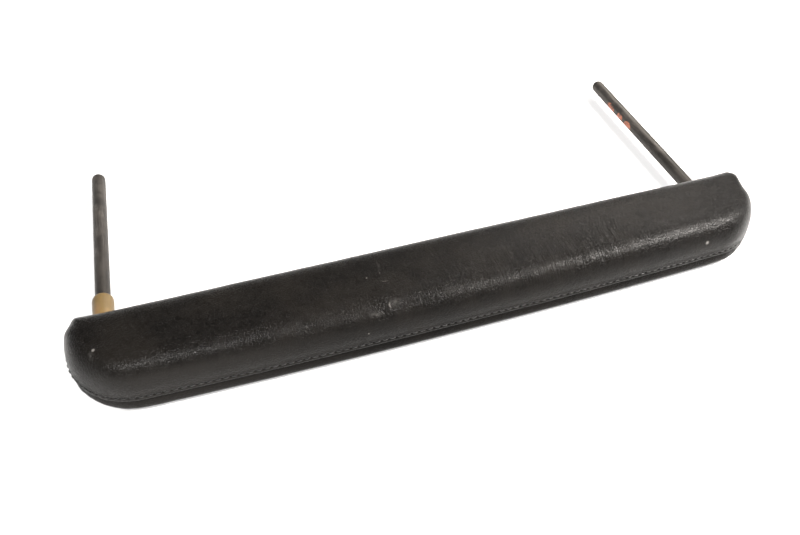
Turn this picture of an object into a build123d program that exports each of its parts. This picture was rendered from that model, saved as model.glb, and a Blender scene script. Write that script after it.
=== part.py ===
from build123d import *
import os

# Bed assist rail: a leather-covered bar with two parallel steel posts in one long side.
# Frame: origin in the middle of the flat rear face, X along the bar, Y the way the posts
# point, Z up through the crowned front face.

# Outside of the bar
PAD_LENGTH = 583.0
PAD_WIDTH = 70.0
FRONT_BOW = 5.5  # how far the middle of the long free side swells past its ends
PAD_HEIGHT = 48.0
FREE_CORNER = 50.0  # plan radius of the two corners away from the posts
POST_CORNER = 17.5  # plan radius of the two corners on the posts' side
CROWN = 16.0  # rounding between the front face and the sides
FOOT = 9.5  # rounding between the rear face and the sides

# Cover: the front piece laps over the rear piece and is topstitched just above its hem
LEATHER = 1.2
HEM_STEP = 1.5  # the rear piece lies this far inside the front piece
HEM_HEIGHT = 15.5
LAP_TOP = 24.0
STITCH_HEIGHT = 19.2
STITCH_PITCH = 6.0
STITCH_LENGTH = 4.0
THREAD = 0.8

# Padding, as depths below the outer skin
LAYER_GAP = 0.3
WADDING_OUTER = HEM_STEP + LEATHER + LAYER_GAP
WADDING_INNER = WADDING_OUTER + 2.5
FOAM_OUTER = WADDING_INNER + LAYER_GAP
REAR_FOAM_INSET = 10.0
REAR_FOAM_THICKNESS = 2.2

# Core tube
TUBE_LENGTH = 552.0
TUBE_WIDTH = 40.0
TUBE_HEIGHT = 20.0
TUBE_WALL = 3.0
TUBE_CORNER = 3.0
TUBE_CUT = 9.0  # its free-side corners are cut off to clear the bar's rounded corners

# Posts
POST_SPACING = 530.0
POST_HEIGHT = 14.0  # axis above the rear face
POST_RADIUS = 6.0
POST_TIP = 233.5  # end of the round tip
SPIGOT_RADIUS = 5.5  # turned-down stretch inside the bar
SHOULDER = PAD_WIDTH / 2 + 0.2
SPIGOT_END = -TUBE_WIDTH / 2 + TUBE_WALL + 0.2
SPIGOT_FIT = 0.1
HOLE_GAP = 0.3

# Bush on the left post
BUSH_START = PAD_WIDTH / 2 + 0.6
BUSH_LENGTH = 37.0
BUSH_RADIUS = 8.4
BUSH_FIT = 0.05
BUSH_SHOULDER = 1.6
GROOVE_WIDTH = 1.0
GROOVE_DEPTH = 0.3

# Cross screws, M5 countersunk, and their nuts
SCREW_RADIUS = 2.5
SCREW_LENGTH = 25.0
SCREW_HEAD_RADIUS = 4.6
SCREW_SOCKET_RADIUS = 1.7
SCREW_SOCKET_DEPTH = 1.8
SCREW_HOLE_RADIUS = 2.75
NUT_FLATS = 8.0
NUT_HEIGHT = 4.0
NUT_FIT = 0.05
NUT_POCKET_RADIUS = 6.5
NUT_POCKET_DEPTH = 6.5

TUBE_FLOOR = POST_HEIGHT - TUBE_HEIGHT / 2
TUBE_TOP = POST_HEIGHT + TUBE_HEIGHT / 2
POST_X = {"left": -POST_SPACING / 2, "right": POST_SPACING / 2}
TUBE_SECTION = Plane(origin=(0, 0, POST_HEIGHT), x_dir=(0, 1, 0), z_dir=(1, 0, 0))
# looks along +Y with its origin on the posts' height: sketch x is X, sketch y is up
POST_PLANE = Plane(origin=(0, 0, POST_HEIGHT), x_dir=(1, 0, 0), z_dir=(0, -1, 0))

os.makedirs("parts", exist_ok=True)


def save(part, node):
    """Label a finished piece and write its STEP file."""
    part.label = node
    export_step(part, f"parts/{node}.step")


def pad_outline(inset):
    """Plan of the bar, `inset` inside its outer skin, with a bowed free side."""
    half_length = PAD_LENGTH / 2
    half_width = PAD_WIDTH / 2
    with BuildSketch() as plan:
        with BuildLine():
            Polyline(
                (-half_length, -half_width),
                (-half_length, half_width),
                (half_length, half_width),
                (half_length, -half_width),
            )
            ThreePointArc(
                (half_length, -half_width),
                (0, -half_width - FRONT_BOW),
                (-half_length, -half_width),
            )
        make_face()
        fillet(plan.vertices().group_by(Axis.Y)[0], radius=FREE_CORNER)
        fillet(plan.vertices().group_by(Axis.Y)[-1], radius=POST_CORNER)
        if inset > 0:
            offset(amount=-inset)
    return plan.sketch


def padded_block(inset):
    """Block with crowned front edges that lies `inset` inside the outer skin."""
    floor = max(inset - HEM_STEP, 0)
    with BuildPart() as block:
        with BuildSketch(Plane.XY.offset(floor)):
            add(pad_outline(inset))
        extrude(amount=PAD_HEIGHT - inset - floor)
        fillet(block.edges().group_by(Axis.Z)[-1], radius=CROWN - inset)
        fillet(block.edges().group_by(Axis.Z)[0], radius=FOOT - inset)
    return block.part


def post_passages(radius):
    """Both posts' round passages through the layers on their side of the bar."""
    with BuildPart() as passages:
        with BuildSketch(POST_PLANE):
            with Locations(*[(x, 0) for x in POST_X.values()]):
                Circle(radius)
        extrude(amount=-PAD_WIDTH)
    return passages.part


# ---- cover ----
with BuildPart() as front_cover:
    add(padded_block(0))
    add(padded_block(LEATHER), mode=Mode.SUBTRACT)
    split(bisect_by=Plane.XY.offset(HEM_HEIGHT), keep=Keep.TOP)
    add(post_passages(SPIGOT_RADIUS + HOLE_GAP), mode=Mode.SUBTRACT)
save(front_cover.part, "front_cover")

with BuildPart() as rear_cover:
    add(padded_block(HEM_STEP))
    add(padded_block(HEM_STEP + LEATHER), mode=Mode.SUBTRACT)
    split(bisect_by=Plane.XY.offset(LAP_TOP), keep=Keep.BOTTOM)
    add(post_passages(SPIGOT_RADIUS + HOLE_GAP), mode=Mode.SUBTRACT)
save(rear_cover.part, "rear_cover")


def stitch_places():
    """Places of the stitches along the hem, leaving the posts' passages free."""
    seam = pad_outline(0).faces()[0].outer_wire()
    count = round(seam.length / STITCH_PITCH)
    clear = SPIGOT_RADIUS + STITCH_LENGTH
    places = []
    for i in range(count):
        middle = seam @ (i / count)
        along = seam % (i / count)
        at_post = any(abs(middle.X - x) < clear for x in POST_X.values())
        if not (at_post and middle.Y > 0):
            places.append(Location(Plane((middle.X, middle.Y, STITCH_HEIGHT), x_dir=along)))
    return places


with BuildPart() as topstitching:
    with Locations(*stitch_places()):
        Box(STITCH_LENGTH, THREAD, THREAD)
save(topstitching.part, "topstitching")


# ---- padding ----
with BuildPart() as wadding:
    add(padded_block(WADDING_OUTER))
    add(padded_block(WADDING_INNER), mode=Mode.SUBTRACT)
    split(bisect_by=Plane.XY.offset(FOOT), keep=Keep.TOP)
    add(post_passages(SPIGOT_RADIUS + HOLE_GAP), mode=Mode.SUBTRACT)
save(wadding.part, "wadding")

with BuildPart() as front_foam:
    add(padded_block(FOAM_OUTER))
    with BuildSketch() as tube_bed:
        Rectangle(TUBE_LENGTH + 2 * LAYER_GAP, TUBE_WIDTH + 2 * LAYER_GAP)
        chamfer(tube_bed.vertices().group_by(Axis.Y)[0], length=TUBE_CUT)
    extrude(amount=TUBE_TOP + LAYER_GAP, mode=Mode.SUBTRACT)
    with BuildSketch():
        with Locations(*[(x, 0) for x in POST_X.values()]):
            Circle(NUT_POCKET_RADIUS)
    extrude(amount=TUBE_TOP + NUT_POCKET_DEPTH, mode=Mode.SUBTRACT)
    add(post_passages(SPIGOT_RADIUS + HOLE_GAP), mode=Mode.SUBTRACT)
save(front_foam.part, "front_foam")

with BuildPart() as rear_foam:
    with BuildSketch(Plane.XY.offset(LEATHER + LAYER_GAP)):
        add(pad_outline(REAR_FOAM_INSET))
    extrude(amount=REAR_FOAM_THICKNESS)
save(rear_foam.part, "rear_foam")


# ---- core ----
with BuildPart() as core_tube:
    with BuildSketch(TUBE_SECTION):
        RectangleRounded(TUBE_WIDTH, TUBE_HEIGHT, TUBE_CORNER)
        RectangleRounded(
            TUBE_WIDTH - 2 * TUBE_WALL,
            TUBE_HEIGHT - 2 * TUBE_WALL,
            TUBE_CORNER / 3,
            mode=Mode.SUBTRACT,
        )
    extrude(amount=TUBE_LENGTH / 2, both=True)
    with BuildSketch() as tube_ends:
        Rectangle(TUBE_LENGTH, TUBE_WIDTH)
        chamfer(tube_ends.vertices().group_by(Axis.Y)[0], length=TUBE_CUT)
    extrude(amount=TUBE_TOP, mode=Mode.INTERSECT)
    add(post_passages(SPIGOT_RADIUS + SPIGOT_FIT), mode=Mode.SUBTRACT)
    with Locations(*[Location((x, 0, TUBE_FLOOR), (180, 0, 0)) for x in POST_X.values()]):
        CounterSinkHole(SCREW_HOLE_RADIUS, SCREW_HEAD_RADIUS + HOLE_GAP, depth=2 * TUBE_HEIGHT)
save(core_tube.part, "core_tube")

# ---- posts, each held by a screw across the tube ----
def post_section(groove_at=None):
    """Half section of a post: spigot, shoulder, plain bar and hemispherical tip."""
    straight_end = POST_TIP - POST_RADIUS
    with BuildSketch(Plane.XY) as section:
        with BuildLine():
            Polyline(
                (0, straight_end),
                (0, SPIGOT_END),
                (SPIGOT_RADIUS, SPIGOT_END),
                (SPIGOT_RADIUS, SHOULDER),
                (POST_RADIUS, SHOULDER),
                (POST_RADIUS, straight_end),
            )
            RadiusArc((POST_RADIUS, straight_end), (0, POST_TIP), -POST_RADIUS)
            Line((0, POST_TIP), (0, straight_end))
        make_face()
        if groove_at is not None:
            with Locations((POST_RADIUS, groove_at)):
                Rectangle(2 * GROOVE_DEPTH, GROOVE_WIDTH, mode=Mode.SUBTRACT)
    return section.sketch


# the shallow groove ends at the bush's outer end, so the bush hides it
groove_places = {"left": BUSH_START + BUSH_LENGTH - GROOVE_WIDTH / 2, "right": None}

for side, x in POST_X.items():
    with BuildPart() as post:
        with BuildSketch(Plane.XY):
            add(post_section(groove_places[side]))
        revolve(axis=Axis.Y)
        with Locations((0, 0, 0)):
            Hole(SCREW_HOLE_RADIUS)
    save(post.part.moved(Location((x, 0, POST_HEIGHT))), f"{side}_post")

    with BuildPart() as screw:
        with BuildSketch(Plane.XY.offset(TUBE_FLOOR)):
            with Locations((x, 0)):
                Circle(SCREW_RADIUS)
        extrude(amount=SCREW_LENGTH)
        with Locations((x, 0, TUBE_FLOOR)):
            Cone(
                SCREW_HEAD_RADIUS,
                SCREW_RADIUS,
                SCREW_HEAD_RADIUS - SCREW_RADIUS,
                align=(Align.CENTER, Align.CENTER, Align.MIN),
            )
        with BuildSketch(Plane.XY.offset(TUBE_FLOOR)):
            with Locations((x, 0)):
                RegularPolygon(SCREW_SOCKET_RADIUS, 6)
        extrude(amount=SCREW_SOCKET_DEPTH, mode=Mode.SUBTRACT)
        fillet(screw.edges().group_by(Axis.Z)[-1], radius=SCREW_RADIUS / 5)
    save(screw.part, f"{side}_post_screw")

    with BuildPart() as nut:
        with BuildSketch(Plane.XY.offset(TUBE_TOP)):
            with Locations((x, 0)):
                RegularPolygon(NUT_FLATS / 2, 6, major_radius=False)
                Circle(SCREW_RADIUS + NUT_FIT, mode=Mode.SUBTRACT)
        extrude(amount=NUT_HEIGHT)
    save(nut.part, f"{side}_post_nut")


# ---- loose bush on the left post ----
with BuildPart() as post_bush:
    with BuildSketch(POST_PLANE.offset(-BUSH_START)):
        with Locations((POST_X["left"], 0)):
            Circle(BUSH_RADIUS)
            Circle(POST_RADIUS + BUSH_FIT, mode=Mode.SUBTRACT)
    extrude(amount=-BUSH_LENGTH)
    rims = post_bush.edges().filter_by(GeomType.CIRCLE).sort_by(SortBy.RADIUS)[-2:]
    fillet(rims, radius=BUSH_SHOULDER)
save(post_bush.part, "post_bush")
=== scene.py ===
import math

import bmesh
import bpy
import numpy as np
from mathutils import Matrix, Vector, noise


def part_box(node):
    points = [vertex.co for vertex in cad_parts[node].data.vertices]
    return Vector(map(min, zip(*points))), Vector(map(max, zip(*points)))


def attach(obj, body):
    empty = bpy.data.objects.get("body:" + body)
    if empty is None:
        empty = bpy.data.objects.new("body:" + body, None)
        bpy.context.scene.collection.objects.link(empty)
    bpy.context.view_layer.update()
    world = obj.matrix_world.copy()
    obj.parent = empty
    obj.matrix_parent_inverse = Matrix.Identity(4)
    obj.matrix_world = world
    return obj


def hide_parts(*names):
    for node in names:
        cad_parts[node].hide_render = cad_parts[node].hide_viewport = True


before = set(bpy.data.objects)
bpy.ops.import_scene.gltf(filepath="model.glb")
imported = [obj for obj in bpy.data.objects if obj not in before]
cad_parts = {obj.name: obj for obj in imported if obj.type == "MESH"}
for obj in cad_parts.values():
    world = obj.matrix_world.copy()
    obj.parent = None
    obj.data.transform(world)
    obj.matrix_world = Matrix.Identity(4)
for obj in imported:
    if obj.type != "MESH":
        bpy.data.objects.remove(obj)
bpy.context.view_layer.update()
MM = 0.001

# ---- camera: left of the bar's middle, looking down over its free side ----
CAMERA_PLACE = (-0.1471, -0.3524, 0.4468)
CAMERA_HEADING = 0.3048  # radians, to the right of the posts' direction
CAMERA_DIP = 0.8199  # radians below level
CAMERA_ROLL = 0.0012  # radians about its line of sight
CAMERA_LENS = 31.68
SENSOR = 36

# ---- the bar, as high and wide as its CAD pieces ----
FRONT_LOW, FRONT_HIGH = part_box("front_cover")
REAR_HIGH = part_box("rear_cover")[1]
HALF_LENGTH = FRONT_HIGH.x
POST_SIDE = FRONT_HIGH.y  # the posts come out of this side
BOW = 5.5 * MM  # swell of the free side at the middle
FREE_SIDE = FRONT_LOW.y + BOW
WIDTH = POST_SIDE - FREE_SIDE
MIDDLE = (POST_SIDE + FREE_SIDE) / 2  # y of the bar's spine
HEIGHT = FRONT_HIGH.z
HEM = FRONT_LOW.z
LAP_TOP = REAR_HIGH.z  # upper edge of the rear cover, tucked in under the front cover
HEM_STEP = HALF_LENGTH - REAR_HIGH.x
SEAM = (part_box("topstitching")[0].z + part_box("topstitching")[1].z) / 2
LEATHER = 1.2 * MM
LAP_DEPTH = HEM_STEP + 0.15 * MM  # rear cover inside the outline, behind the hem
LOW_DEPTH = 0.3 * MM  # the same, where it swells out below the hem
FREE_CORNER = 53 * MM  # radius of the corners on the free side
POST_CORNERS = {-1: 13 * MM, 1: 9 * MM}  # the same by the posts, at the left and right ends
LEAN = 2.5 * MM  # how far the right end is drawn in between its corners
FOOT = 8.5 * MM  # radius of the rounding where the low band meets the rear face
FOAM_COVER = 5.9 * MM  # foam below the cover's outer surface
CROWN = 1.2 * MM  # about how far the front face falls from its crest towards its edge
HALF_SPINE = HALF_LENGTH - WIDTH / 2
FOLD = 0.8 * MM  # radius of the hem's folded edge
TUCK = 0.5 * MM  # how far above the hem the rear cover starts to swell out
SEAM_TOP = SEAM + 4 * MM  # the rings are close together up to here
SEAM_STEP = 0.33 * MM
WELD = 0.03 * MM  # points closer than this become one
FIT = 0.2 * MM  # room round a piece that lies in the foam
SHARP_ANGLE = math.radians(50)
# rounding of the front face's edge, as (height, run in), which fades gently into the face
EDGE_FREE = (23 * MM, 23 * MM)
EDGE_POSTS = (18 * MM, 22 * MM)
EDGE_LEFT = (37 * MM, 25 * MM)
EDGE_RIGHT = (30 * MM, 19 * MM)
EDGE_FADE = 2.8
STATION = 0.85 * MM  # spacing along the outline

# ---- topstitching ----
STITCH_PITCH = 6.0 * MM
STITCH_LENGTH = 4.3 * MM
STITCH_DIVE = 1.2 * MM  # how deep a stitch's ends go into their holes
STITCH_SLANT = 0.22 * MM
THREAD = 0.42 * MM  # radius
GROOVE = 0.34 * MM  # depth
HOLE = 0.55 * MM  # depth below the groove
SKIP_AT_POSTS = 10.5 * MM

# ---- posts and bush ----
POST_LOW, POST_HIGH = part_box("right_post")
POST_RADIUS = (POST_HIGH.x - POST_LOW.x) / 2
POST_X = (POST_HIGH.x + POST_LOW.x) / 2
POST_Z = (POST_HIGH.z + POST_LOW.z) / 2
BUSH_LOW, BUSH_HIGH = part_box("post_bush")
BUSH_RADIUS = (BUSH_HIGH.x - BUSH_LOW.x) / 2
BORE = POST_RADIUS + 0.06 * MM
PASSAGE = POST_RADIUS + 0.12 * MM  # radius of a post's passage through the covers
PASSAGE_REACH = 8 * MM  # each way from the posts' side

# ---- studio: lamps as name, place, target, size, power in watts and warmth ----
LAMPS = [
    ("key_right", (0.86, -0.32, 1.04), (0.20, -0.02, 0.03), (0.60, 0.28), 60, 0.10),
    ("over_right", (0.98, 0.02, 1.20), (0.15, 0, 0), (0.5, 0.5), 5, 0.10),
    ("back_right", (1.14, 1.25, 1.45), (0.15, 0, 0), (0.7, 0.7), 20, 0.14),
    ("front_left", (-0.58, -0.46, 1.20), (-0.2, 0, 0), (0.25, 0.25), 20, 0.05),
]
FLOOR_GLOW = 0.52
COVER_GLOSS = 0.105
BACKING_GLOSS = 0.035


# =====================================================================
# small helpers
# =====================================================================
def smooth_step(x, low, high):
    """0 below low, 1 above high, and smooth between them."""
    t = np.clip((x - low) / (high - low), 0, 1)
    return t * t * (3 - 2 * t)


def bell(x, width):
    """1 at 0, falling smoothly to nearly 0 at twice the width."""
    return np.exp(-((x / width) ** 2))


def ripple(points, size, seed):
    """Smooth noise from -1 to 1 at each point, in lumps of that size, which may differ per axis."""
    scaled = points / np.broadcast_to(size, 3) + seed * 7.31
    return np.array([noise.noise(Vector(p)) for p in scaled])


def link(name, mesh):
    """A new object in the scene that holds that mesh, lamp or camera."""
    piece = bpy.data.objects.new(name, mesh)
    bpy.context.scene.collection.objects.link(piece)
    return piece


def solid(name, points, faces, merge=0.0):
    """A smooth closed mesh of those points and faces, with its faces turned outward."""
    mesh = bpy.data.meshes.new(name)
    mesh.from_pydata(np.asarray(points).tolist(), [], faces)
    work = bmesh.new()
    work.from_mesh(mesh)
    if merge > 0:
        bmesh.ops.remove_doubles(work, verts=work.verts, dist=merge)
    bmesh.ops.recalc_face_normals(work, faces=work.faces)
    work.to_mesh(mesh)
    work.free()
    mesh.validate()
    mesh.shade_smooth()
    return link(name, mesh)


def ring_faces(rings, count, start=0):
    """Quads that join each closed ring of count points to the next one."""
    row = start + np.arange(rings - 1)[:, None] * count
    here = np.arange(count)[None, :]
    ahead = (here + 1) % count
    quads = np.stack([row + here, row + ahead, row + count + ahead, row + count + here], axis=-1)
    return quads.reshape(-1, 4).tolist()


def lathe(profile, centre, turns=96):
    """Points of a closed (radius, y) profile turned about a line along Y, and their faces."""
    angle = np.linspace(0, 2 * math.pi, turns, endpoint=False)
    profile = np.array(profile)
    radius, along = profile[:, 0][:, None], profile[:, 1][:, None]
    x = centre.x + radius * np.cos(angle)
    z = centre.z + radius * np.sin(angle)
    y = np.broadcast_to(along, x.shape)
    points = np.stack([x, y, z], axis=-1).reshape(-1, 3)
    faces = ring_faces(len(profile), turns)
    first = np.arange(turns)
    last = (len(profile) - 1) * turns + first
    faces += np.stack([last, np.roll(last, -1), np.roll(first, -1), first], axis=-1).tolist()
    return points, faces


# =====================================================================
# shape of the bar
# =====================================================================
def arc(centre, radius, start, stop, steps):
    """Points along a circle's arc in plan, from one angle to the other."""
    turn = np.linspace(start, stop, steps)
    return [(centre[0] + radius * math.cos(a), centre[1] + radius * math.sin(a)) for a in turn]


def free_edge(x):
    """The free side's line along x, rounded at the corners, without its bow."""
    past = np.clip((np.abs(x) - (HALF_LENGTH - FREE_CORNER)) / FREE_CORNER, 0, 1)
    return FREE_SIDE + FREE_CORNER * (1 - np.sqrt(1 - past**2))


def end_outline(side):
    """One end's outline, from the posts' side round to the free side."""
    corner = POST_CORNERS[side]
    post_centre = (HALF_LENGTH - corner, POST_SIDE - corner)
    free_centre = (HALF_LENGTH - FREE_CORNER, FREE_SIDE + FREE_CORNER)
    stop = -math.acos((HALF_SPINE - free_centre[0]) / FREE_CORNER)
    points = [(HALF_SPINE, POST_SIDE)]
    points += arc(post_centre, corner, math.pi / 2, 0, 60)
    points += arc(free_centre, FREE_CORNER, 0, stop, 160)
    return np.array(points) * (side, 1)


def spread(points, spacing):
    """Points at about that even spacing along an open line."""
    steps = np.r_[0, np.cumsum(np.linalg.norm(np.diff(points, axis=0), axis=1))]
    at = np.linspace(0, steps[-1], int(steps[-1] / spacing) + 1)
    return np.column_stack([np.interp(at, steps, points[:, i]) for i in range(2)])


def bowed(plan):
    """The free side swells towards the middle of the bar, and the right end is drawn in."""
    share = np.clip((POST_SIDE - plan[:, 1]) / WIDTH, 0, 1)
    swell = BOW * share * (1 - (plan[:, 0] / HALF_LENGTH) ** 2)
    by_end = smooth_step(plan[:, 0], HALF_SPINE + 5 * MM, HALF_LENGTH - 5 * MM)
    drawn = LEAN * bell(plan[:, 1] - 12 * MM, 12 * MM) * by_end
    return plan - np.column_stack([drawn, swell])


class Outline:
    """Stations round the bar: each one's point on the outline, and the spine point it faces."""

    def __init__(self):
        x = np.linspace(-HALF_SPINE, HALF_SPINE, int(2 * HALF_SPINE / STATION) + 1)
        right = spread(end_outline(1), STATION)
        left = spread(end_outline(-1), STATION)
        back = np.column_stack([x, np.full_like(x, POST_SIDE)])
        free = np.column_stack([x, free_edge(x)])
        plan = np.vstack([back, right[1:-1], free[::-1], left[::-1][1:-1]])
        spine = np.clip(plan, (-HALF_SPINE, MIDDLE), (HALF_SPINE, MIDDLE))
        self.count = len(plan)
        self.edge, self.spine = bowed(plan), bowed(spine)
        run = self.spine - self.edge
        self.reach = np.linalg.norm(run, axis=1)
        self.inward = run / self.reach[:, None]
        step = np.linalg.norm(np.roll(self.edge, -1, axis=0) - self.edge, axis=1)
        self.along = np.r_[0, np.cumsum(step)[:-1]]
        self.around = step.sum()
        self.stitches = round(self.around / STITCH_PITCH)
        self.phase = (self.along / self.around * self.stitches) % 1.0
        self.height, self.run = self.edge_rounding()

    def edge_rounding(self):
        """Height and run of the front face's rounded edge at each station."""
        ahead = np.roll(self.edge, -1, axis=0) - np.roll(self.edge, 1, axis=0)
        facing = np.abs(ahead[:, 1]) / np.linalg.norm(ahead, axis=1)
        end = smooth_step(facing, 0.10, 0.85)
        free = smooth_step(-self.edge[:, 1], -20 * MM, 20 * MM)
        side = np.outer(free, EDGE_FREE) + np.outer(1 - free, EDGE_POSTS)
        ends = np.where(self.edge[:, :1] > 0, EDGE_RIGHT, EDGE_LEFT)
        both = side * (1 - end)[:, None] + ends * end[:, None]
        return both.T

    def ring(self, depth, height):
        """One closed ring of points, that far inside the outline and at that height."""
        depth = np.broadcast_to(depth, self.count)
        plan = self.edge + self.inward * depth[:, None]
        return np.column_stack([plan, np.broadcast_to(height, self.count)])

    def at(self, distance):
        """Plan point and inward direction at that distance round the outline."""
        near = np.searchsorted(self.along, distance % self.around) - 1
        after = (near + 1) % self.count
        gap = (self.along[after] - self.along[near]) % self.around
        t = (distance % self.around - self.along[near]) / gap
        point = self.edge[near] * (1 - t) + self.edge[after] * t
        inward = self.inward[near] * (1 - t) + self.inward[after] * t
        return point, inward / np.linalg.norm(inward)


outline = Outline()


def side_depth(height):
    """How far inside the outline the rounded edge lies at that height, at every station."""
    up = np.clip((height - HEIGHT + outline.height) / outline.height, 0, 1)
    return outline.run * (1 - (1 - up**2) ** (1 / EDGE_FADE))


def crown(depth):
    """How far the front face lies below its crest, that far inside the outline."""
    return CROWN * (1 - np.clip(depth / outline.reach, 0, 1)) ** 2 * smooth_step(depth, 0, 0.02)


def near_posts(points, reach):
    """1 at the posts' passages, fading to 0 at that distance."""
    away = np.hypot(np.abs(points[:, 0]) - POST_X, points[:, 2] - POST_Z)
    return (1 - smooth_step(away, POST_RADIUS, reach)) * (points[:, 1] > MIDDLE)


def seam_relief(height):
    """How far the leather is drawn in round the topstitching at that height."""
    off = height - SEAM
    from_hole = np.minimum(outline.phase, 1 - outline.phase) * STITCH_PITCH
    hole = HOLE * bell(off, 0.7 * MM) * bell(from_hole, 0.8 * MM)
    between_holes = 0.6 + 0.4 * bell(from_hole - 3 * MM, 2 * MM)
    puff = 0.22 * MM * bell(abs(off) - 2.0 * MM, 1.1 * MM) * between_holes
    return GROOVE * bell(off, 1.0 * MM) + hole - puff


def unevenness(points):
    """Outward push of hand-fitted leather: broad waves, dents, corner pleats, the pull at the posts."""
    broad = 0.40 * MM * ripple(points, (0.11, 0.05, 0.05), 1)
    dents = 0.12 * MM * ripple(points, (0.018, 0.015, 0.012), 2)
    corner = smooth_step(np.abs(points[:, 0]), HALF_SPINE - 0.03, HALF_SPINE + 0.01)
    low = 1 - smooth_step(points[:, 2], SEAM - 2 * MM, SEAM + 12 * MM)
    pleats = 0.30 * MM * ripple(points, (0.007, 0.007, 0.05), 3) * corner * low
    return broad + dents + pleats - 1.0 * MM * near_posts(points, 20 * MM)


def creases(points, normal):
    """Inward depth of the fine creases that cross the free side's ridge."""
    ridge = bell(normal[:, 2] - 0.80, 0.26) * (points[:, 1] < MIDDLE)
    where = 0.06 + bell(points[:, 0] - 0.10, 0.10)
    fine = np.abs(ripple(points, (0.0034, 0.05, 0.05), 5))
    long = np.abs(ripple(points, (0.0075, 0.07, 0.06), 6))
    return ridge * where * (0.10 * MM * bell(fine, 0.16) + 0.12 * MM * bell(long, 0.10))


def outward_of(rings):
    """Outward direction at every point of a stack of rings that climbs from the outside in."""
    grid = np.array(rings)
    across = np.gradient(grid, axis=0)
    along = np.roll(grid, -1, axis=1) - np.roll(grid, 1, axis=1)
    normal = np.cross(across, along)
    normal[-1] = (0, 0, 1)
    length = np.linalg.norm(normal, axis=2, keepdims=True)
    return normal / np.maximum(length, 1e-12)


def front_rings():
    """Rings of the front cover's outer surface, from the hem's edge up to the spine."""
    rings = []
    for a in np.linspace(-math.pi / 2, 0, 5)[:-1]:
        rings.append(outline.ring(FOLD * (1 - math.cos(a)), HEM + FOLD * (1 + math.sin(a))))
    for z in np.arange(HEM + FOLD, SEAM_TOP, SEAM_STEP):
        rings.append(outline.ring(side_depth(z) + seam_relief(z), z))
    base = HEIGHT - outline.height
    wall = np.maximum(base - SEAM_TOP, 0)
    start = np.arcsin(np.clip((SEAM_TOP - base) / outline.height, 0, 1))
    size = (outline.height + outline.run) / 2
    length = wall + (math.pi / 2 - start) * size
    for t in np.linspace(0, 1, 56):
        travelled = t * length
        angle = np.minimum(start + np.maximum(travelled - wall, 0) / size, math.pi / 2)
        depth = outline.run * (1 - np.cos(angle) ** (2 / EDGE_FADE))
        rounded = base + outline.height * np.sin(angle)
        height = np.where(travelled < wall, SEAM_TOP + travelled, rounded)
        rings.append(outline.ring(depth, height - crown(depth)))
    for t in np.linspace(0, 1, 16)[1:]:
        depth = outline.run + (outline.reach - outline.run) * t
        rings.append(outline.ring(depth, HEIGHT - crown(depth)))
    return rings


def shell(name, outer, outward, thickness, skip, every):
    """Closed shell of those outer rings, with its inner skin on every so many of them."""
    inner = [ring - way * thickness for ring, way in zip(outer, outward)][skip::every]
    spine = outer[-1] - outward[-1] * thickness
    rings = [spine] + inner[::-1] + list(outer)
    return solid(name, np.vstack(rings), ring_faces(len(rings), len(outer[0])), merge=WELD)


def shaped_front():
    """The front cover's outer rings after all unevenness, and their outward directions."""
    rings = front_rings()
    outward = outward_of(rings)
    shaped = []
    for ring, way in zip(rings, outward):
        push = unevenness(ring) - creases(ring, way)
        shaped.append(ring + way * push[:, None])
    return shaped, outward


def rear_rings():
    """Rings of the rear cover's outer surface, from its tucked-in edge down and in to the spine."""
    rings = []
    for z in np.linspace(LAP_TOP, HEM + TUCK, 9):
        rings.append(outline.ring(LAP_DEPTH, z))
    swell = LAP_DEPTH - LOW_DEPTH
    for t in np.linspace(0, 1, 12)[1:-1]:
        depth = LAP_DEPTH - swell * math.sin(t * math.pi / 2)
        rings.append(outline.ring(depth, HEM + TUCK + t * (FOOT - HEM - TUCK)))
    for a in np.linspace(0, math.pi / 2, 20):
        rings.append(outline.ring(LOW_DEPTH + FOOT * (1 - math.cos(a)), FOOT * (1 - math.sin(a))))
    rim = LOW_DEPTH + FOOT
    for t in np.linspace(0, 1, 14)[1:]:
        rings.append(outline.ring(rim + (outline.reach - rim) * t, 0))
    return rings


def shaped_rear():
    """The rear cover's outer rings, puckered at the corners below the hem and flat beneath."""
    rings = rear_rings()
    outward = -outward_of(rings)
    outward[-1] = (0, 0, -1)
    shaped = []
    for ring, way in zip(rings, outward):
        below = 1 - smooth_step(ring[:, 2], HEM - 1 * MM, HEM + 2 * MM)
        free = smooth_step(ring[:, 2], 0.2 * MM, 5 * MM) * below
        corner = smooth_step(np.abs(ring[:, 0]), HALF_SPINE - 0.05, HALF_SPINE - 0.01)
        pleats = 0.45 * MM * ripple(ring, (0.008, 0.008, 0.03), 8) * corner
        push = (unevenness(ring) * 0.6 + pleats) * free
        push = np.minimum(push, 0.8 * MM)
        shaped.append(ring + way * push[:, None])
    return shaped, outward


# =====================================================================
# pieces
# =====================================================================
def cut_away(piece, tools):
    """Take each closed tool out of the piece."""
    for tool in tools:
        cut = piece.modifiers.new("cut", "BOOLEAN")
        cut.operation = "DIFFERENCE"
        cut.solver = "MANIFOLD"
        cut.object = tool
    bpy.context.view_layer.update()
    done = piece.evaluated_get(bpy.context.evaluated_depsgraph_get())
    mesh = bpy.data.meshes.new_from_object(done)
    piece.modifiers.clear()
    piece.data = mesh
    for tool in tools:
        bpy.data.objects.remove(tool)
    piece.data.shade_smooth()
    piece.data.set_sharp_from_angle(angle=SHARP_ANGLE)


def rod(start, end, radius, turns=64):
    """Closed cylinder from start to end."""
    start, end = Vector(start), Vector(end)
    turn = (end - start).to_track_quat("Z", "Y")
    points = []
    for middle in (start, end):
        for a in np.linspace(0, 2 * math.pi, turns, endpoint=False):
            points.append(middle + turn @ Vector((radius * math.cos(a), radius * math.sin(a), 0)))
    faces = ring_faces(2, turns)
    faces += [list(range(turns)), list(range(turns, 2 * turns))]
    return solid("cut_tool", [tuple(q) for q in points], faces)


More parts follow.
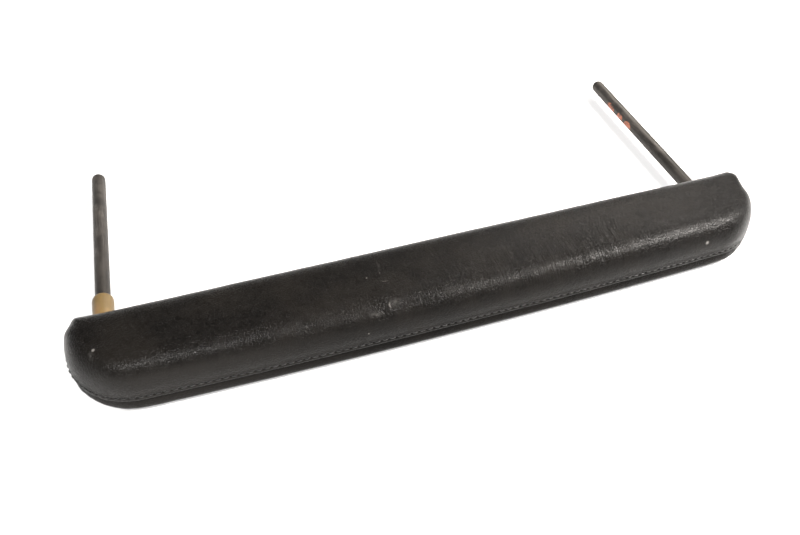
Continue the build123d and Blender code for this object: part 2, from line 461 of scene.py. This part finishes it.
def block(low, high):
    """Closed box between two corners."""
    plan = [(low[0], low[1]), (high[0], low[1]), (high[0], high[1]), (low[0], high[1])]
    points = [(x, y, z) for z in (low[2], high[2]) for x, y in plan]
    return solid("cut_tool", points, ring_faces(2, 4) + [[0, 1, 2, 3], [4, 5, 6, 7]])


def post_rods(radius, low, high):
    """One rod on each post's axis, between those two places along it."""
    return [rod((x, low, POST_Z), (x, high, POST_Z), radius) for x in (-POST_X, POST_X)]


def make_cover(name, shaped, outward, skip, every):
    """A leather cover with a passage for each post."""
    piece = shell(name, shaped, outward, LEATHER, skip, every)
    cut_away(piece, post_rods(PASSAGE, POST_SIDE - PASSAGE_REACH, POST_SIDE + PASSAGE_REACH))
    return piece


def make_wadding():
    """A layer of wadding that follows the front cover from inside."""
    rings = front_rings()
    outward = outward_of(rings)
    depth = LEATHER + 0.6 * MM + 0.3 * MM
    keep = [i for i, ring in enumerate(rings) if ring[0, 2] > LAP_TOP + 0.5 * MM][::3]
    keep.append(len(rings) - 1)
    outer = []
    for i in keep:
        fluff = 0.25 * MM * ripple(rings[i], (0.012, 0.012, 0.012), 11)
        outer.append(rings[i] - outward[i] * (depth + fluff)[:, None])
    ways = [outward[i] for i in keep]
    return shell("wadding_layer", outer, ways, thickness=1.9 * MM, skip=0, every=1)


def make_front_foam():
    """Foam block under the wadding, with room in it for the core, the posts and the screws' ends."""
    rings = front_rings()
    outward = outward_of(rings)
    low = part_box("front_foam")[0].z
    keep = [i for i, ring in enumerate(rings) if ring[0, 2] > LAP_TOP + 1 * MM][::3]
    side = [outline.ring(FOAM_COVER, z) for z in np.linspace(low, LAP_TOP, 8)]
    top = [rings[i] - outward[i] * FOAM_COVER for i in keep + [len(rings) - 1]]
    base = [outline.ring(outline.reach * t + FOAM_COVER * (1 - t), low) for t in (1, 0.5)]
    stack = base + side + top
    faces = ring_faces(len(stack), outline.count)
    piece = solid("front_foam_block", np.vstack(stack), faces, merge=WELD)
    core_low, core_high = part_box("core_tube")
    channel_low = (core_low.x - FIT, core_low.y - FIT, low - 5 * MM)
    channel_high = (core_high.x + FIT, core_high.y + FIT, core_high.z + FIT)
    channel = block(channel_low, channel_high)
    cut_away(piece, [channel] + post_rods(POST_RADIUS, 0, POST_SIDE))
    well_foot = core_high.z - 2 * MM
    well_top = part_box("right_post_screw")[1].z + FIT
    well_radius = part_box("right_post_nut")[1].x - POST_X + FIT
    wells = []
    for x in (-POST_X, POST_X):
        wells.append(rod((x, 0, well_foot), (x, 0, well_top), well_radius))
    cut_away(piece, wells)
    return piece


def make_rear_foam():
    """Thin foam sheet between the core and the rear cover."""
    low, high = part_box("rear_foam")
    edge = HALF_LENGTH - high.x
    half = (high.z - low.z) / 2
    stack = []
    for a in np.linspace(-math.pi / 2, math.pi / 2, 11):
        depth = edge + half * (1 - math.cos(a))
        stack.append(outline.ring(depth, low.z + half * (1 + math.sin(a))))
    middle = (outline.reach + edge + half) / 2
    below = [outline.ring(outline.reach, low.z), outline.ring(middle, low.z)]
    above = [outline.ring(middle, high.z), outline.ring(outline.reach, high.z)]
    stack = below + stack + above
    faces = ring_faces(len(stack), outline.count)
    return solid("rear_foam_sheet", np.vstack(stack), faces, merge=WELD)


def seam_point(distance, height):
    """Point on the front cover's groove at that distance round it, and its outward direction."""
    plan, inward = outline.at(distance)
    point = np.array([[plan[0], plan[1], height]])
    outward = np.array([-inward[0], -inward[1], 0])
    push = unevenness(point)[0] - GROOVE
    return point[0] + outward * push, outward


def make_stitches():
    """Each visible stitch is a short thread that dives into its holes."""
    sides, joints = 8, 11
    points, faces = [], []
    for i in range(outline.stitches):
        centre = (i + 0.5) / outline.stitches * outline.around
        middle, _ = seam_point(centre, SEAM)
        if abs(abs(middle[0]) - POST_X) < SKIP_AT_POSTS and middle[1] > MIDDLE:
            continue
        slant = STITCH_SLANT * noise.noise(Vector((i * 0.37, 4.1, 0)))
        line = []
        for t in np.linspace(-1, 1, joints):
            spot, outward = seam_point(centre + t * STITCH_LENGTH / 2, SEAM + slant * t)
            lift = THREAD * 0.75 - STITCH_DIVE * abs(t) ** 5
            line.append(Vector(spot + outward * lift))
        start = len(points)
        for j, spot in enumerate(line):
            ahead = (line[min(j + 1, joints - 1)] - line[max(j - 1, 0)]).normalized()
            flank = ahead.cross(Vector((0, 0, 1))).normalized()
            rise = flank.cross(ahead)
            thick = THREAD * (0.8 + 0.2 * math.cos(math.pi * (j / (joints - 1) - 0.5)))
            for k in range(sides):
                a = 2 * math.pi * k / sides
                points.append(spot + flank * (thick * math.cos(a)) + rise * (thick * math.sin(a)))
        faces += ring_faces(joints, sides, start)
        faces.append([start + k for k in range(sides)])
        faces.append([start + (joints - 1) * sides + k for k in range(sides)])
    return solid("topstitching_thread", [tuple(p) for p in points], faces)


def make_bush():
    """Moulded sleeve with a rounded shoulder at its outer end and a small bevel at the inner one."""
    round_in, round_along = BUSH_RADIUS - POST_RADIUS - 0.5 * MM, 5 * MM
    top, foot = BUSH_HIGH.y, BUSH_LOW.y
    rim = BUSH_RADIUS - round_in
    profile = [(BORE, top - 0.3 * MM), (BORE + 0.2 * MM, top)]
    for a in np.linspace(math.pi / 2, 0, 14):
        profile.append((rim + round_in * math.cos(a), top - round_along * (1 - math.sin(a))))
    length = top - round_along - foot - 0.6 * MM
    for t in np.linspace(0, 1, 14)[1:]:
        waist = 0.16 * MM * math.sin(math.pi * t)
        profile.append((BUSH_RADIUS - waist, top - round_along - t * length))
    profile += [(BUSH_RADIUS - 0.2 * MM, foot + 0.15 * MM), (BUSH_RADIUS - 0.6 * MM, foot)]
    profile += [(BORE + 0.3 * MM, foot), (BORE, foot + 0.3 * MM)]
    profile += [(BORE, foot + t * (top - foot)) for t in np.linspace(0.1, 0.9, 8)]
    centre = Vector((-POST_X, 0, POST_Z))
    points, faces = lathe(profile, centre)
    return solid("post_bush_sleeve", worn_round(points, centre), faces)


def worn_round(points, centre):
    """Slight unevenness and a faint mould line on a turned shape, but none in its bore."""
    off = points - np.array([centre.x, 0, centre.z])
    off[:, 1] = 0
    radius = np.linalg.norm(off, axis=1)
    way = off / radius[:, None]
    skin = smooth_step(radius, BORE + 0.4 * MM, BORE + 1.0 * MM)
    angle = np.arctan2(off[:, 2], off[:, 0])
    line = 0.10 * MM * bell(np.abs(angle) - 0.5 * math.pi, 0.05)
    push = 0.05 * MM * ripple(points, (0.006, 0.009, 0.006), 21) - 0.06 * MM + line * 0.5
    return points + way * (push * skin)[:, None]


# =====================================================================
# materials
# =====================================================================
class Paint:
    """A material's node tree, with short calls for the nodes used here."""

    def __init__(self, name):
        self.material = bpy.data.materials.new(name)
        self.material.use_nodes = True
        self.tree = self.material.node_tree
        self.shader = self.tree.nodes["Principled BSDF"]
        self.place = self.tree.nodes.new("ShaderNodeTexCoord").outputs["Object"]

    def put(self, socket, value):
        """Link an output to a socket, or set the socket to a plain value."""
        if isinstance(value, bpy.types.NodeSocket):
            self.tree.links.new(value, socket)
        else:
            socket.default_value = value

    def node(self, kind, inputs, **settings):
        made = self.tree.nodes.new(kind)
        for key, value in settings.items():
            setattr(made, key, value)
        for key, value in inputs.items():
            self.put(made.inputs[key], value)
        return made

    def maths(self, operation, first, second=0.0, clamp=False):
        made = self.node("ShaderNodeMath", {0: first, 1: second}, operation=operation)
        made.use_clamp = clamp
        return made.outputs[0]

    def stretched(self, scale, turn=(0, 0, 0)):
        inputs = {"Vector": self.place, "Scale": scale, "Rotation": turn}
        return self.node("ShaderNodeMapping", inputs).outputs[0]

    def noise(self, scale, detail=3.0, rough=0.55, where=None):
        inputs = {"Scale": scale, "Detail": detail, "Roughness": rough}
        inputs["Vector"] = where or self.place
        return self.node("ShaderNodeTexNoise", inputs).outputs["Fac"]

    def cells(self, scale, feature="F1", where=None):
        inputs = {"Scale": scale, "Vector": where or self.place}
        made = self.node("ShaderNodeTexVoronoi", inputs, feature=feature)
        return made.outputs["Distance"]

    def between(self, value, low, high, to_low=0.0, to_high=1.0):
        """Value run from low to high, turned smoothly into to_low to to_high."""
        inputs = {"Value": value, "From Min": low, "From Max": high, "To Min": to_low, "To Max": to_high}
        made = self.node("ShaderNodeMapRange", inputs, interpolation_type="SMOOTHSTEP")
        return made.outputs["Result"]

    def mix(self, share, first, second):
        made = self.node("ShaderNodeMix", {}, data_type="RGBA")
        self.put(made.inputs["Factor"], share)
        self.put(made.inputs[6], first)
        self.put(made.inputs[7], second)
        return made.outputs[2]

    def spot(self, centre, size, soft=0.3):
        """1 inside an ellipsoid at centre, fading to 0 at its edge."""
        scale = tuple(1 / s for s in size)
        shift = tuple(-c / s for c, s in zip(centre, size))
        inputs = {"Vector": self.place, "Scale": scale, "Location": shift}
        moved = self.node("ShaderNodeMapping", inputs).outputs[0]
        away = self.node("ShaderNodeVectorMath", {0: moved}, operation="LENGTH").outputs["Value"]
        return self.between(away, 1.0, 1.0 - soft)

    def hoop(self, centre, radius, width):
        """1 on a ball's surface round centre, fading to 0 at that distance from it."""
        away = self.node("ShaderNodeVectorMath", {0: self.place, 1: centre}, operation="DISTANCE")
        off = self.maths("SUBTRACT", away.outputs["Value"], radius)
        return self.between(self.maths("ABSOLUTE", off), width, 0.0)

    def axis(self, index):
        return self.node("ShaderNodeSeparateXYZ", {0: self.place}).outputs[index]

    def bump(self, height, distance, strength=1.0, under=None):
        inputs = {"Height": height, "Distance": distance, "Strength": strength}
        if under is not None:
            inputs["Normal"] = under
        return self.node("ShaderNodeBump", inputs).outputs[0]

    def finish(self, colour, roughness, normal, **constants):
        self.put(self.shader.inputs["Base Color"], colour)
        self.put(self.shader.inputs["Roughness"], roughness)
        self.put(self.shader.inputs["Normal"], normal)
        for key, value in constants.items():
            self.shader.inputs[key.replace("_", " ")].default_value = value
        return self.material


def grey(value, warm=0.0):
    """A grey of that value, a share warmer than neutral."""
    return (value * (1 + warm), value, value * (1 - warm), 1.0)


LEATHER_DEEP = grey(0.0018, 0.12)
LEATHER_FADED = grey(0.0045, 0.18)
LEATHER_GRAIN = grey(0.008, 0.12)
# painted sheen: greyer leather colour on the left part of the free side
LEATHER_PAINTED_SHEEN = grey(0.013, 0.08)
DUST = grey(0.16, 0.06)
SCUFF = grey(0.10, 0.05)
SPECK = grey(0.14, 0.05)
STEEL_DARK = grey(0.030, 0.10)
STEEL_PALE = grey(0.058, 0.12)
STEEL_STREAK = grey(0.11, 0.10)
# painted shade on the posts near the bar
STEEL_PAINTED_SHADE_BY_BAR = grey(0.016, 0.15)
STEEL_SMUDGE = grey(0.13, 0.08)
STEEL_PIT = (0.035, 0.02, 0.012, 1)
OLD_PAINT = (0.36, 0.115, 0.060, 1)
BUSH_PALE = (0.135, 0.088, 0.030, 1)
BUSH_DARK = (0.100, 0.064, 0.021, 1)
BUSH_DIRT = (0.16, 0.09, 0.045, 1)
BUSH_SPECK = (0.12, 0.07, 0.035, 1)


def leather(name, gloss):
    """Worn black leather: pebble grain, fine cross creases, scuffs, dust and a painted sheen towards the
    left of the free side.
    """
    p = Paint(name)
    grain = p.cells(700, "SMOOTH_F1")
    valleys = p.between(p.cells(480, "DISTANCE_TO_EDGE"), 0.0, 0.16)
    fine = p.noise(2600, 2, 0.6)
    pores = p.maths("ADD", p.maths("MULTIPLY", grain, -0.7), p.maths("MULTIPLY", valleys, 0.5))
    pores = p.maths("ADD", pores, p.maths("MULTIPLY", fine, 0.35))
    normal = p.bump(pores, 0.24 * MM)
    normal = p.bump(cross_lines(p), 0.22 * MM, stretch_zone(p), under=normal)
    normal = p.bump(p.noise(60, 2), 0.6 * MM, 0.25, under=normal)
    blotch = p.noise(22, 4, 0.6)
    colour = p.mix(p.between(blotch, 0.35, 0.7), LEATHER_DEEP, LEATHER_FADED)
    colour = p.mix(p.between(valleys, 0.2, 1.0, 0.0, 0.35), colour, LEATHER_GRAIN)
    colour = p.mix(p.between(p.noise(900, 1), 0.74, 0.80, 0.0, 0.2), colour, DUST)
    # painted sheen: the free side is made greyer towards its left end
    colour = p.mix(painted_sheen_left_side(p), colour, LEATHER_PAINTED_SHEEN)
    colour = p.mix(scuffs(p), colour, SCUFF)
    colour = p.mix(specks(p), colour, SPECK)
    rough = p.between(blotch, 0.3, 0.75, 0.23, 0.29)
    rough = p.maths("ADD", rough, p.between(fine, 0.3, 0.7, -0.04, 0.06))
    return p.finish(colour, rough, normal, Specular_IOR_Level=gloss)


def cross_lines(p):
    """Hair-fine creases that run from the free side towards the posts."""
    waves = p.noise(1.0, 2, 0.5, where=p.stretched((330, 14, 22)))
    return p.between(p.maths("ABSOLUTE", p.maths("SUBTRACT", waves, 0.5)), 0.0, 0.07)


def stretch_zone(p):
    """Where the leather is stretched: right of the middle, from the ridge up the wide face."""
    right = p.between(p.maths("ABSOLUTE", p.maths("SUBTRACT", p.axis(0), 0.085)), 0.12, 0.02)
    ridge = p.between(p.axis(1), 8 * MM, -18 * MM)
    above = p.between(p.axis(2), 35 * MM, 42 * MM)
    return p.maths("MULTIPLY", right, p.maths("MULTIPLY", ridge, above))


def painted_sheen_left_side(p):
    """Painted sheen: the free side's colour made greyer towards the left end, standing in for the light
    it catches there.
    """
    left = p.between(p.axis(0), -20 * MM, -270 * MM)
    below = p.between(p.axis(2), 44 * MM, 36 * MM)
    front = p.between(p.axis(1), -15 * MM, -28 * MM)
    return p.maths("MULTIPLY", left, p.maths("MULTIPLY", below, front))


def scuffs(p):
    """Rubbed marks left of the middle, one near the left end and one on the free side."""
    swirl = p.hoop((-49 * MM, -29.5 * MM, 45.6 * MM), 4.5 * MM, 0.8 * MM)
    swirl = p.maths("MULTIPLY", swirl, p.spot((-53 * MM, -29.5 * MM, 45.6 * MM), (3.2 * MM,) * 3, 0.8))
    arc_mark = p.hoop((-50 * MM, -3 * MM, 48 * MM), 4.5 * MM, 0.6 * MM)
    arc_mark = p.maths("MULTIPLY", arc_mark, p.spot((-51 * MM, -8 * MM, 48 * MM), (4 * MM,) * 3, 0.8))
    marks = p.maths("ADD", swirl, p.maths("MULTIPLY", arc_mark, 0.45), clamp=True)
    rubs = [
        ((-49 * MM, -28 * MM, 46 * MM), (7 * MM, 5 * MM, 5 * MM), 0.28),
        ((-65 * MM, -33 * MM, 43 * MM), (7 * MM, 3 * MM, 4 * MM), 0.30),
        ((-51 * MM, 9 * MM, 48 * MM), (1.5 * MM, 7 * MM, 4 * MM), 0.16),
        ((-266 * MM, -11 * MM, 46 * MM), (3 * MM, 5 * MM, 4 * MM), 0.22),
        ((150 * MM, -38 * MM, 27 * MM), (5 * MM, 5 * MM, 3 * MM), 0.20),
    ]
    ragged = p.between(p.noise(480, 4, 0.7), 0.38, 0.62)
    for centre, size, share in rubs:
        rub = p.maths("MULTIPLY", p.spot(centre, size, 0.9), p.maths("MULTIPLY", ragged, share))
        marks = p.maths("ADD", marks, rub, clamp=True)
    return marks


def specks(p):
    """Small pale specks of dirt."""
    places = [
        ((-264 * MM, -7.5 * MM, 47.6 * MM), 1.8 * MM),
        ((-73 * MM, -39.5 * MM, 31 * MM), 0.9 * MM),
        ((-63 * MM, 0, 48 * MM), 0.8 * MM),
        ((219 * MM, -36 * MM, 35 * MM), 2.3 * MM),
    ]
    share = p.spot((-52 * MM, 2 * MM, 48 * MM), (0.5 * MM,) * 3, 0.9)
    for centre, size in places:
        share = p.maths("MAXIMUM", share, p.spot(centre, (size,) * 3, 0.9))
    return share


def thread_material():
    """Nearly black waxed thread."""
    p = Paint("waxed_thread")
    twist = p.noise(1.0, 1, 0.5, where=p.stretched((2600, 2600, 2600)))
    colour = p.mix(p.between(twist, 0.35, 0.65), grey(0.003), grey(0.016, 0.04))
    rough = p.between(twist, 0.3, 0.7, 0.35, 0.6)
    return p.finish(colour, rough, p.bump(twist, 0.10 * MM), Specular_IOR_Level=0.5)


def post_material():
    """Dark worn steel with brown pits, paler smudges, painted shade towards the bar and, on the right
    post, old red paint.
    """
    p = Paint("worn_post_steel")
    streaks = p.noise(1.0, 5, 0.65, where=p.stretched((380, 28, 380)))
    blotch = p.noise(75, 4, 0.6)
    pits = p.noise(1500, 3, 0.6)
    colour = p.mix(p.between(blotch, 0.35, 0.65), STEEL_DARK, STEEL_PALE)
    colour = p.mix(p.between(streaks, 0.5, 0.72, 0.0, 0.7), colour, STEEL_STREAK)
    colour = p.mix(p.between(pits, 0.6, 0.75, 0.0, 0.5), colour, STEEL_PIT)
    # painted shade: the posts darken towards the bar
    colour = p.mix(p.between(p.axis(1), 190 * MM, 90 * MM, 0.0, 0.6), colour, STEEL_PAINTED_SHADE_BY_BAR)
    colour = p.mix(smudges(p), colour, STEEL_SMUDGE)
    paint = red_paint(p)
    colour = p.mix(paint, colour, OLD_PAINT)
    rough = p.between(blotch, 0.3, 0.7, 0.42, 0.6)
    metal = p.between(paint, 0.2, 0.8, 0.55, 0.0)
    p.put(p.shader.inputs["Metallic"], metal)
    normal = p.bump(pits, 0.08 * MM, 0.7)
    normal = p.bump(streaks, 0.10 * MM, 0.4, under=normal)
    return p.finish(colour, rough, normal)


def smudges(p):
    """Paler rubbed places: three along the left post and two along the right one."""
    top = POST_Z + POST_RADIUS
    places = [
        ((-POST_X - 2 * MM, 181 * MM, top), (3 * MM, 7 * MM, 4 * MM)),
        ((-POST_X - 2 * MM, 150 * MM, top), (2.0 * MM, 12 * MM, 4 * MM)),
        ((-POST_X - 3 * MM, 124 * MM, top), (3.5 * MM, 9 * MM, 4 * MM)),
        ((POST_X, 165 * MM, top), (2.5 * MM, 26 * MM, 4 * MM)),
        ((POST_X, 105 * MM, top), (2.5 * MM, 14 * MM, 4 * MM)),
    ]
    share = 0.0
    for centre, size in places:
        share = p.maths("MAXIMUM", p.spot(centre, size, 0.9), share)
    worn = p.between(p.noise(300, 4, 0.7), 0.35, 0.65, 0.1, 0.6)
    return p.maths("MULTIPLY", share, worn)


def red_paint(p):
    """Share of the old red paint left along the right post."""
    edge = (POST_X - 0.95 * POST_RADIUS, POST_Z - 0.1 * POST_RADIUS)
    marks = [(189 * MM, 9.5 * MM), (170 * MM, 7 * MM), (154 * MM, 8 * MM)]
    share = p.spot((edge[0], 163 * MM, edge[1] - 3.2 * MM), (2.2 * MM, 28 * MM, 1.4 * MM), 0.5)
    for y, half in marks:
        patch = p.spot((edge[0], y, edge[1]), (4.5 * MM, half, 5.0 * MM), 0.5)
        share = p.maths("MAXIMUM", share, patch)
    ragged = p.between(p.noise(260, 4, 0.75), 0.42, 0.52)
    return p.between(p.maths("MULTIPLY", share, ragged), 0.25, 0.6)


def bush_material():
    """Yellowed plastic with browner stains and one dirty place near its middle."""
    p = Paint("yellowed_plastic")
    stain = p.noise(55, 3, 0.5)
    specks = p.noise(1400, 2, 0.5)
    colour = p.mix(p.between(stain, 0.35, 0.68), BUSH_PALE, BUSH_DARK)
    dirt = p.spot((-POST_X - 3 * MM, 56 * MM, POST_Z + 8 * MM), (5 * MM, 7 * MM, 5 * MM), 0.9)
    colour = p.mix(p.maths("MULTIPLY", dirt, 0.55), colour, BUSH_DIRT)
    colour = p.mix(p.between(specks, 0.68, 0.78, 0.0, 0.4), colour, BUSH_SPECK)
    rough = p.between(stain, 0.3, 0.7, 0.38, 0.55)
    p.put(p.shader.inputs["Subsurface Weight"], 0.15)
    p.shader.inputs["Subsurface Radius"].default_value = (0.004, 0.002, 0.001)
    return p.finish(colour, rough, p.bump(specks, 0.05 * MM, 0.5))


def wadding_material():
    """White fibres that run mostly one way."""
    p = Paint("polyester_wadding")
    fibres = p.noise(1.0, 5, 0.7, where=p.stretched((900, 240, 600), (0.3, 0.2, 0.7)))
    colour = p.mix(fibres, (0.55, 0.54, 0.51, 1), (0.86, 0.85, 0.82, 1))
    rough = p.between(fibres, 0.2, 0.8, 0.8, 1.0)
    return p.finish(colour, rough, p.bump(fibres, 0.8 * MM))


def foam_material():
    """Yellowed foam with darker pores."""
    p = Paint("polyurethane_foam")
    pores = p.cells(1100)
    age = p.noise(40, 3)
    colour = p.mix(age, (0.72, 0.58, 0.28, 1), (0.82, 0.72, 0.45, 1))
    colour = p.mix(p.between(pores, 0.45, 0.15, 0.0, 0.4), colour, (0.40, 0.28, 0.10, 1))
    rough = p.between(pores, 0.0, 0.6, 0.75, 0.95)
    return p.finish(colour, rough, p.bump(pores, 0.5 * MM))


def core_material():
    """Steel tube with grey primer, scratched along its length."""
    p = Paint("primed_core_steel")
    scratches = p.noise(1.0, 4, 0.6, where=p.stretched((25, 900, 900)))
    blotch = p.noise(60, 3)
    colour = p.mix(blotch, (0.10, 0.105, 0.11, 1), (0.17, 0.175, 0.18, 1))
    colour = p.mix(p.between(scratches, 0.62, 0.72, 0.0, 0.8), colour, (0.42, 0.42, 0.42, 1))
    metal = p.between(scratches, 0.6, 0.7, 0.25, 0.9)
    p.put(p.shader.inputs["Metallic"], metal)
    rough = p.between(blotch, 0.3, 0.7, 0.45, 0.6)
    return p.finish(colour, rough, p.bump(scratches, 0.05 * MM, 0.5))


def zinc_material():
    """Dull zinc on the screws and nuts."""
    p = Paint("zinc_plate")
    swirl = p.noise(700, 3, 0.6)
    cloud = p.noise(240, 2)
    colour = p.mix(cloud, (0.48, 0.47, 0.42, 1), (0.66, 0.65, 0.60, 1))
    rough = p.between(swirl, 0.3, 0.7, 0.28, 0.45)
    return p.finish(colour, rough, p.bump(swirl, 0.02 * MM, 0.6), Metallic=1.0)


def give(piece, material):
    """Put the material in every slot of the piece, or in a first one."""
    slots = piece.material_slots
    if not slots:
        piece.data.materials.append(material)
    for slot in slots:
        slot.material = material


# =====================================================================
# studio
# =====================================================================
def make_camera():
    """The photo's camera."""
    data = bpy.data.cameras.new("camera")
    data.lens = CAMERA_LENS
    data.sensor_width = SENSOR
    camera = link("camera", data)
    heading = Matrix.Rotation(-CAMERA_HEADING, 4, "Z")
    dip = Matrix.Rotation(math.pi / 2 - CAMERA_DIP, 4, "X")
    roll = Matrix.Rotation(-CAMERA_ROLL, 4, "Z")
    camera.matrix_world = Matrix.Translation(CAMERA_PLACE) @ heading @ dip @ roll
    bpy.context.scene.camera = camera


def make_light(name, place, target, size, power, warmth=0.0):
    """A soft rectangular lamp at place that looks at target."""
    data = bpy.data.lights.new(name, "AREA")
    data.shape = "RECTANGLE"
    data.size, data.size_y = size
    data.energy = power
    data.color = (1.0, 1.0 - 0.5 * warmth, 1.0 - warmth)
    lamp = link(name, data)
    lamp.location = place
    way = Vector(target) - Vector(place)
    lamp.rotation_euler = way.to_track_quat("-Z", "Y").to_euler()


def make_world():
    """Pale near the horizon and dimmer overhead."""
    world = bpy.data.worlds.new("studio")
    bpy.context.scene.world = world
    world.use_nodes = True
    tree = world.node_tree
    back = tree.nodes["Background"]
    where = tree.nodes.new("ShaderNodeTexCoord")
    split = tree.nodes.new("ShaderNodeSeparateXYZ")
    fade = tree.nodes.new("ShaderNodeMapRange")
    fade.interpolation_type = "SMOOTHSTEP"
    tree.links.new(where.outputs["Generated"], split.inputs[0])
    tree.links.new(split.outputs[2], fade.inputs["Value"])
    fade.inputs["From Min"].default_value = 0.05
    fade.inputs["From Max"].default_value = 0.55
    fade.inputs["To Min"].default_value = 0.75
    fade.inputs["To Max"].default_value = 0.20
    tree.links.new(fade.outputs["Result"], back.inputs["Strength"])
    back.inputs["Color"].default_value = (1, 1, 1, 1)


def make_floor():
    """A pale floor just below the bar, which glows so that it looks white."""
    size, drop = 4.0, 0.1 * MM
    corners = [(-size, -size, -drop), (size, -size, -drop), (size, size, -drop), (-size, size, -drop)]
    mesh = bpy.data.meshes.new("floor")
    mesh.from_pydata(corners, [], [(0, 1, 2, 3)])
    floor = link("floor", mesh)
    p = Paint("pale_floor")
    cloud = p.noise(3, 2)
    colour = p.mix(cloud, grey(0.45), grey(0.47))
    material = p.finish(colour, 0.9, p.bump(cloud, 0.01 * MM, 0.1), Specular_IOR_Level=0.0)
    p.put(p.shader.inputs["Emission Color"], grey(1.0))
    p.shader.inputs["Emission Strength"].default_value = FLOOR_GLOW
    give(floor, material)


def make_studio():
    make_world()
    make_floor()
    for lamp in LAMPS:
        make_light(*lamp)
    bpy.context.scene.view_settings.view_transform = "Standard"


# =====================================================================
# assembly
# =====================================================================
def add_pieces():
    """Make every piece, and say its body, the CAD node it replaces and its material slot."""
    cover = leather("black_leather", COVER_GLOSS)
    backing = leather("black_backing_leather", BACKING_GLOSS)
    front = make_cover("front_cover_leather", *shaped_front(), skip=6, every=4)
    rear = make_cover("rear_cover_leather", *shaped_rear(), skip=2, every=3)
    stitches = make_stitches()
    wadding = make_wadding()
    bush = make_bush()
    front_foam = make_front_foam()
    rear_foam = make_rear_foam()
    foam = foam_material()
    rows = [
        (front, "bar", "front_cover", "cover_leather", cover),
        (rear, "bar", "rear_cover", "cover_leather", backing),
        (stitches, "bar", "topstitching", "thread", thread_material()),
        (wadding, "bar", "wadding", "wadding", wadding_material()),
        (front_foam, "bar", "front_foam", "foam", foam),
        (rear_foam, "bar", "rear_foam", "foam", foam),
        (bush, "bush", "post_bush", "bush_plastic", bush_material()),
    ]
    for piece, body, node, slot, material in rows:
        give(piece, material)
        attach(piece, body)
        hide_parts(node)


def paint_nodes():
    """Materials of the CAD pieces that stay."""
    kept = {
        post_material(): ["left_post", "right_post"],
        core_material(): ["core_tube"],
        zinc_material(): ["left_post_screw", "right_post_screw", "left_post_nut", "right_post_nut"],
    }
    for material, names in kept.items():
        for name in names:
            give(bpy.data.objects[name], material)


make_camera()
make_studio()
add_pieces()
paint_nodes()
